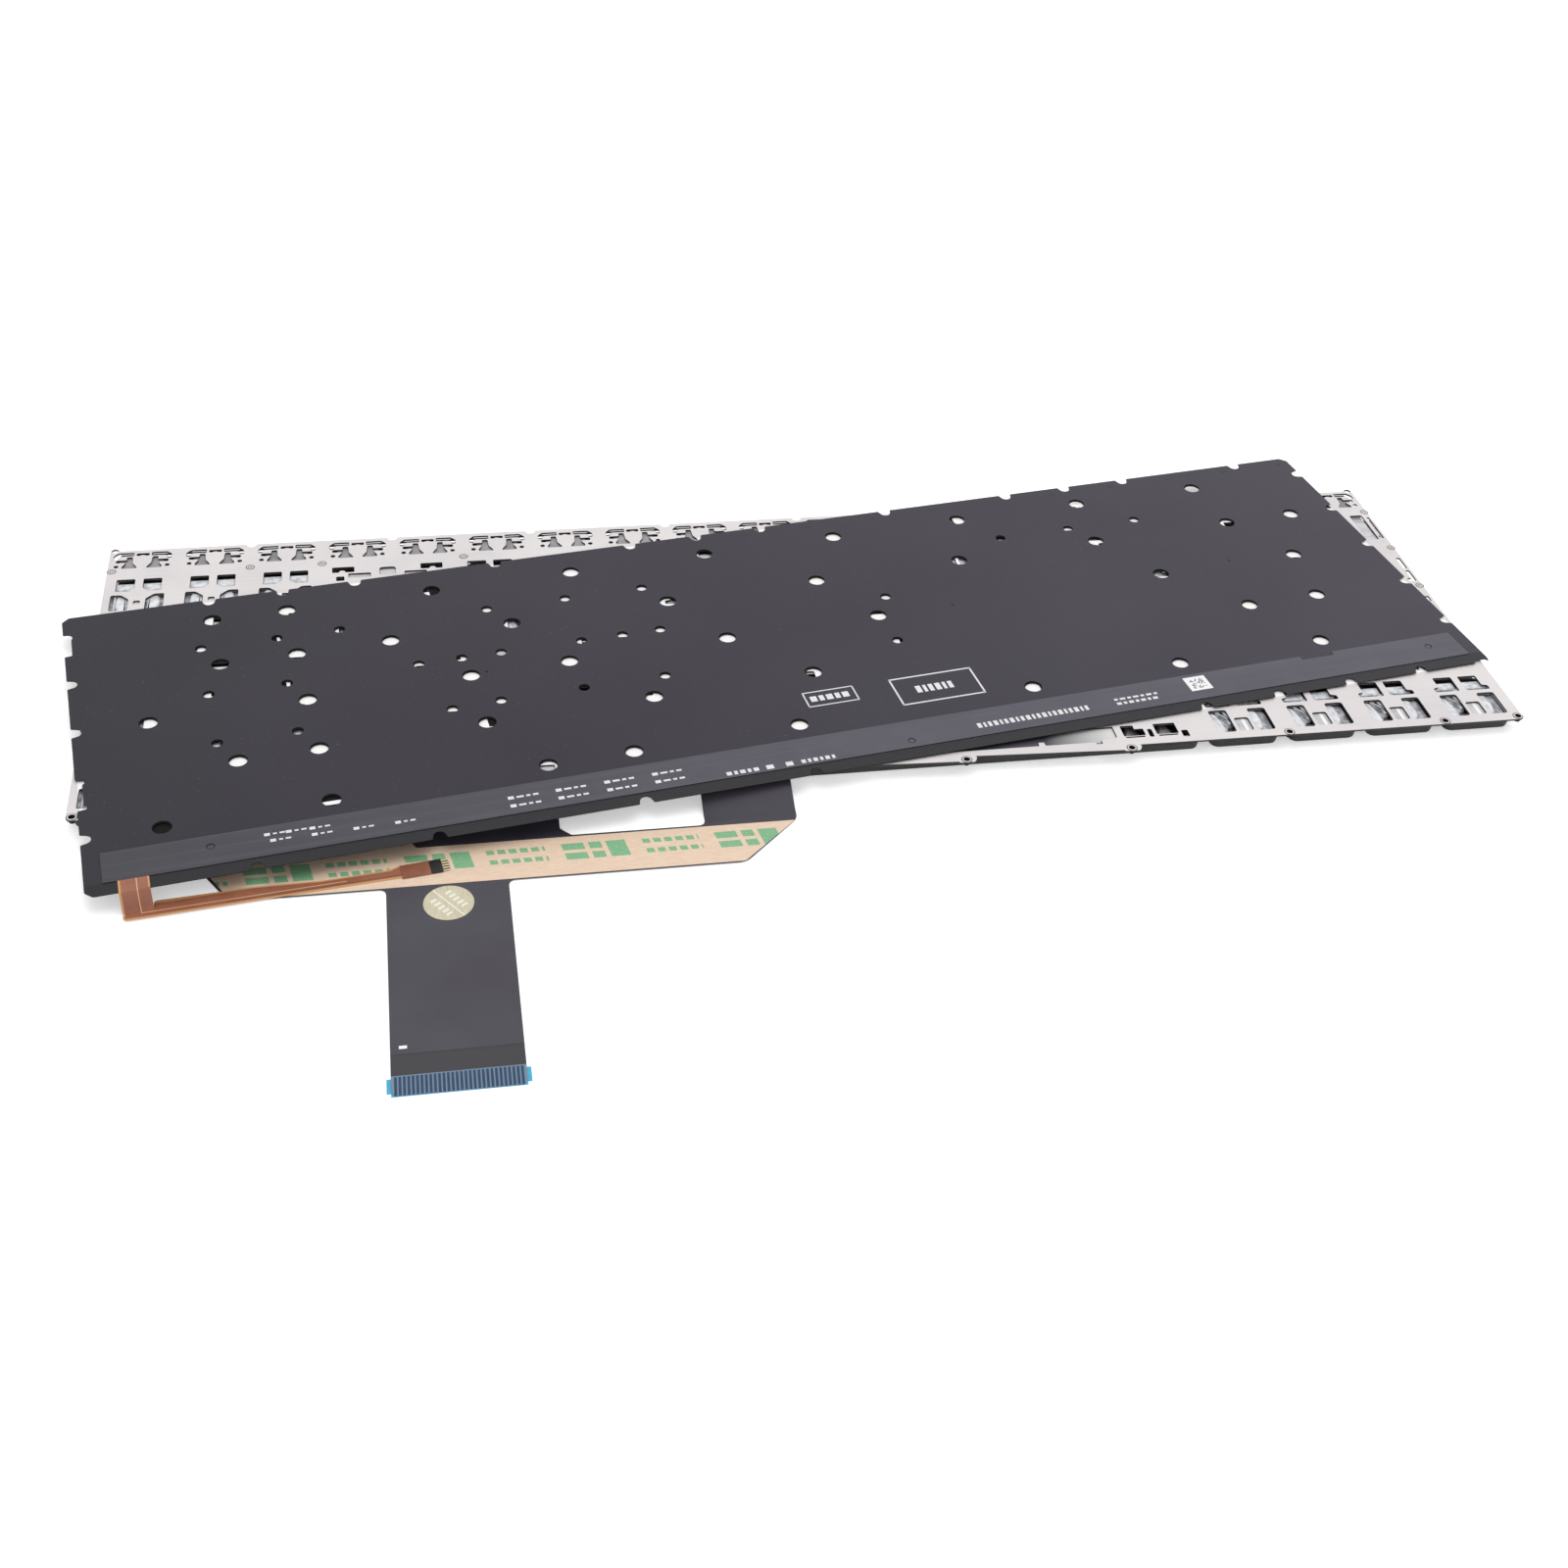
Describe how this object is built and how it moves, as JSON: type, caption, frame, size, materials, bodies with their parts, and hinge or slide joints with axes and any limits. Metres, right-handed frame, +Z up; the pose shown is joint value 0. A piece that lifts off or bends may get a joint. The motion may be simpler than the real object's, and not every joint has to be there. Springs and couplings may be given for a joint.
{
  "type": "laptop keyboard with backlight panel",
  "caption": "Laptop keyboard lying face down: stamped metal support plate over black keys, with a loose perforated backlight panel, a wide flat cable and a narrow backlight tail.",
  "frame": {"origin": "bottom centre of the whole, on the plane of the key faces it lies on", "axes": "+X along the plate towards the caps lock side, +Y towards the function row, +Z up, from the key faces to the back of the plate"},
  "size_m": [0.338, 0.2032, 0.0047],
  "materials": {
    "keycap": "satin",
    "dome": "satin",
    "scissor": "satin",
    "wire": "satin",
    "membrane": "gloss",
    "plate": "satin",
    "guide": "gloss",
    "rear_film": "satin",
    "strip": "satin",
    "led": "gloss",
    "label": "matte",
    "tail_film": "gloss",
    "tail_stiffener": "satin",
    "contact": "satin",
    "cable_film": "satin",
    "liner": "satin",
    "sticker": "matte",
    "stiffener": "satin"
  },
  "bodies": {
    "keyboard": {"letter_row_keys": "keycap", "number_row_keys": "keycap", "number_pad_keys": "keycap", "function_row_keys": "keycap", "rubber_domes": "dome", "scissor_frames": "scissor", "switch_membrane": "membrane", "support_plate": "plate", "light_guide": "guide", "backlight_rear_film": "rear_film", "led_strip": "strip", "leds": "led", "code_label": "label", "backlight_tail": "tail_film", "tail_stiffener": "tail_stiffener", "tail_contacts": "contact", "keyboard_cable": "cable_film", "cable_adhesive_liner": "liner", "round_sticker": "sticker", "cable_stiffener": "stiffener", "cable_contacts": "contact"},
    "right_arrow_key": {"right_arrow_key": "keycap"},
    "up_arrow_key": {"up_arrow_key": "keycap"},
    "down_arrow_key": {"down_arrow_key": "keycap"},
    "left_arrow_key": {"left_arrow_key": "keycap"},
    "right_control_key": {"right_control_key": "keycap"},
    "right_alt_key": {"right_alt_key": "keycap"},
    "space_bar": {"space_bar": "keycap", "space_bar_wire": "wire"},
    "left_alt_key": {"left_alt_key": "keycap"},
    "system_key": {"system_key": "keycap"},
    "fn_key": {"fn_key": "keycap"},
    "left_control_key": {"left_control_key": "keycap"},
    "right_shift_key": {"right_shift_key": "keycap"},
    "slash_key": {"slash_key": "keycap"},
    "full_stop_key": {"full_stop_key": "keycap"},
    "comma_key": {"comma_key": "keycap"},
    "m_key": {"m_key": "keycap"},
    "n_key": {"n_key": "keycap"},
    "b_key": {"b_key": "keycap"},
    "v_key": {"v_key": "keycap"},
    "c_key": {"c_key": "keycap"},
    "x_key": {"x_key": "keycap"},
    "z_key": {"z_key": "keycap"},
    "left_shift_key": {"left_shift_key": "keycap"},
    "enter_key": {"enter_key": "keycap"},
    "apostrophe_key": {"apostrophe_key": "keycap"},
    "semicolon_key": {"semicolon_key": "keycap"},
    "l_key": {"l_key": "keycap"},
    "k_key": {"k_key": "keycap"},
    "j_key": {"j_key": "keycap"},
    "h_key": {"h_key": "keycap"},
    "g_key": {"g_key": "keycap"},
    "f_key": {"f_key": "keycap"},
    "d_key": {"d_key": "keycap"},
    "s_key": {"s_key": "keycap"},
    "a_key": {"a_key": "keycap"},
    "caps_lock_key": {"caps_lock_key": "keycap"}
  },
  "joints": [
    {"name": "right_arrow_key_press", "type": "slide", "parent": "keyboard", "child": "right_arrow_key", "axis": [0, 0, 1], "range_m": [0, 0.0012], "stiffness_N_per_m": 450, "springref_m": -0.0005, "deforming": ["rubber_domes"]},
    {"name": "up_arrow_key_press", "type": "slide", "parent": "keyboard", "child": "up_arrow_key", "axis": [0, 0, 1], "range_m": [0, 0.0012], "stiffness_N_per_m": 450, "springref_m": -0.0005, "deforming": ["rubber_domes"]},
    {"name": "down_arrow_key_press", "type": "slide", "parent": "keyboard", "child": "down_arrow_key", "axis": [0, 0, 1], "range_m": [0, 0.0012], "stiffness_N_per_m": 450, "springref_m": -0.0005, "deforming": ["rubber_domes"]},
    {"name": "left_arrow_key_press", "type": "slide", "parent": "keyboard", "child": "left_arrow_key", "axis": [0, 0, 1], "range_m": [0, 0.0012], "stiffness_N_per_m": 450, "springref_m": -0.0005, "deforming": ["rubber_domes"]},
    {"name": "right_control_key_press", "type": "slide", "parent": "keyboard", "child": "right_control_key", "axis": [0, 0, 1], "range_m": [0, 0.0012], "stiffness_N_per_m": 450, "springref_m": -0.0005, "deforming": ["rubber_domes"]},
    {"name": "right_alt_key_press", "type": "slide", "parent": "keyboard", "child": "right_alt_key", "axis": [0, 0, 1], "range_m": [0, 0.0012], "stiffness_N_per_m": 450, "springref_m": -0.0005, "deforming": ["rubber_domes"]},
    {"name": "space_bar_press", "type": "slide", "parent": "keyboard", "child": "space_bar", "axis": [0, 0, 1], "range_m": [0, 0.0012], "stiffness_N_per_m": 450, "springref_m": -0.0005, "deforming": ["rubber_domes"]},
    {"name": "left_alt_key_press", "type": "slide", "parent": "keyboard", "child": "left_alt_key", "axis": [0, 0, 1], "range_m": [0, 0.0012], "stiffness_N_per_m": 450, "springref_m": -0.0005, "deforming": ["rubber_domes"]},
    {"name": "system_key_press", "type": "slide", "parent": "keyboard", "child": "system_key", "axis": [0, 0, 1], "range_m": [0, 0.0012], "stiffness_N_per_m": 450, "springref_m": -0.0005, "deforming": ["rubber_domes"]},
    {"name": "fn_key_press", "type": "slide", "parent": "keyboard", "child": "fn_key", "axis": [0, 0, 1], "range_m": [0, 0.0012], "stiffness_N_per_m": 450, "springref_m": -0.0005, "deforming": ["rubber_domes"]},
    {"name": "left_control_key_press", "type": "slide", "parent": "keyboard", "child": "left_control_key", "axis": [0, 0, 1], "range_m": [0, 0.0012], "stiffness_N_per_m": 450, "springref_m": -0.0005, "deforming": ["rubber_domes"]},
    {"name": "right_shift_key_press", "type": "slide", "parent": "keyboard", "child": "right_shift_key", "axis": [0, 0, 1], "range_m": [0, 0.0012], "stiffness_N_per_m": 450, "springref_m": -0.0005, "deforming": ["rubber_domes"]},
    {"name": "slash_key_press", "type": "slide", "parent": "keyboard", "child": "slash_key", "axis": [0, 0, 1], "range_m": [0, 0.0012], "stiffness_N_per_m": 450, "springref_m": -0.0005, "deforming": ["rubber_domes"]},
    {"name": "full_stop_key_press", "type": "slide", "parent": "keyboard", "child": "full_stop_key", "axis": [0, 0, 1], "range_m": [0, 0.0012], "stiffness_N_per_m": 450, "springref_m": -0.0005, "deforming": ["rubber_domes"]},
    {"name": "comma_key_press", "type": "slide", "parent": "keyboard", "child": "comma_key", "axis": [0, 0, 1], "range_m": [0, 0.0012], "stiffness_N_per_m": 450, "springref_m": -0.0005, "deforming": ["rubber_domes"]},
    {"name": "m_key_press", "type": "slide", "parent": "keyboard", "child": "m_key", "axis": [0, 0, 1], "range_m": [0, 0.0012], "stiffness_N_per_m": 450, "springref_m": -0.0005, "deforming": ["rubber_domes"]},
    {"name": "n_key_press", "type": "slide", "parent": "keyboard", "child": "n_key", "axis": [0, 0, 1], "range_m": [0, 0.0012], "stiffness_N_per_m": 450, "springref_m": -0.0005, "deforming": ["rubber_domes"]},
    {"name": "b_key_press", "type": "slide", "parent": "keyboard", "child": "b_key", "axis": [0, 0, 1], "range_m": [0, 0.0012], "stiffness_N_per_m": 450, "springref_m": -0.0005, "deforming": ["rubber_domes"]},
    {"name": "v_key_press", "type": "slide", "parent": "keyboard", "child": "v_key", "axis": [0, 0, 1], "range_m": [0, 0.0012], "stiffness_N_per_m": 450, "springref_m": -0.0005, "deforming": ["rubber_domes"]},
    {"name": "c_key_press", "type": "slide", "parent": "keyboard", "child": "c_key", "axis": [0, 0, 1], "range_m": [0, 0.0012], "stiffness_N_per_m": 450, "springref_m": -0.0005, "deforming": ["rubber_domes"]},
    {"name": "x_key_press", "type": "slide", "parent": "keyboard", "child": "x_key", "axis": [0, 0, 1], "range_m": [0, 0.0012], "stiffness_N_per_m": 450, "springref_m": -0.0005, "deforming": ["rubber_domes"]},
    {"name": "z_key_press", "type": "slide", "parent": "keyboard", "child": "z_key", "axis": [0, 0, 1], "range_m": [0, 0.0012], "stiffness_N_per_m": 450, "springref_m": -0.0005, "deforming": ["rubber_domes"]},
    {"name": "left_shift_key_press", "type": "slide", "parent": "keyboard", "child": "left_shift_key", "axis": [0, 0, 1], "range_m": [0, 0.0012], "stiffness_N_per_m": 450, "springref_m": -0.0005, "deforming": ["rubber_domes"]},
    {"name": "enter_key_press", "type": "slide", "parent": "keyboard", "child": "enter_key", "axis": [0, 0, 1], "range_m": [0, 0.0012], "stiffness_N_per_m": 450, "springref_m": -0.0005, "deforming": ["rubber_domes"]},
    {"name": "apostrophe_key_press", "type": "slide", "parent": "keyboard", "child": "apostrophe_key", "axis": [0, 0, 1], "range_m": [0, 0.0012], "stiffness_N_per_m": 450, "springref_m": -0.0005, "deforming": ["rubber_domes"]},
    {"name": "semicolon_key_press", "type": "slide", "parent": "keyboard", "child": "semicolon_key", "axis": [0, 0, 1], "range_m": [0, 0.0012], "stiffness_N_per_m": 450, "springref_m": -0.0005, "deforming": ["rubber_domes"]},
    {"name": "l_key_press", "type": "slide", "parent": "keyboard", "child": "l_key", "axis": [0, 0, 1], "range_m": [0, 0.0012], "stiffness_N_per_m": 450, "springref_m": -0.0005, "deforming": ["rubber_domes"]},
    {"name": "k_key_press", "type": "slide", "parent": "keyboard", "child": "k_key", "axis": [0, 0, 1], "range_m": [0, 0.0012], "stiffness_N_per_m": 450, "springref_m": -0.0005, "deforming": ["rubber_domes"]},
    {"name": "j_key_press", "type": "slide", "parent": "keyboard", "child": "j_key", "axis": [0, 0, 1], "range_m": [0, 0.0012], "stiffness_N_per_m": 450, "springref_m": -0.0005, "deforming": ["rubber_domes"]},
    {"name": "h_key_press", "type": "slide", "parent": "keyboard", "child": "h_key", "axis": [0, 0, 1], "range_m": [0, 0.0012], "stiffness_N_per_m": 450, "springref_m": -0.0005, "deforming": ["rubber_domes"]},
    {"name": "g_key_press", "type": "slide", "parent": "keyboard", "child": "g_key", "axis": [0, 0, 1], "range_m": [0, 0.0012], "stiffness_N_per_m": 450, "springref_m": -0.0005, "deforming": ["rubber_domes"]},
    {"name": "f_key_press", "type": "slide", "parent": "keyboard", "child": "f_key", "axis": [0, 0, 1], "range_m": [0, 0.0012], "stiffness_N_per_m": 450, "springref_m": -0.0005, "deforming": ["rubber_domes"]},
    {"name": "d_key_press", "type": "slide", "parent": "keyboard", "child": "d_key", "axis": [0, 0, 1], "range_m": [0, 0.0012], "stiffness_N_per_m": 450, "springref_m": -0.0005, "deforming": ["rubber_domes"]},
    {"name": "s_key_press", "type": "slide", "parent": "keyboard", "child": "s_key", "axis": [0, 0, 1], "range_m": [0, 0.0012], "stiffness_N_per_m": 450, "springref_m": -0.0005, "deforming": ["rubber_domes"]},
    {"name": "a_key_press", "type": "slide", "parent": "keyboard", "child": "a_key", "axis": [0, 0, 1], "range_m": [0, 0.0012], "stiffness_N_per_m": 450, "springref_m": -0.0005, "deforming": ["rubber_domes"]},
    {"name": "caps_lock_key_press", "type": "slide", "parent": "keyboard", "child": "caps_lock_key", "axis": [0, 0, 1], "range_m": [0, 0.0012], "stiffness_N_per_m": 450, "springref_m": -0.0005, "deforming": ["rubber_domes"]}
  ]
}
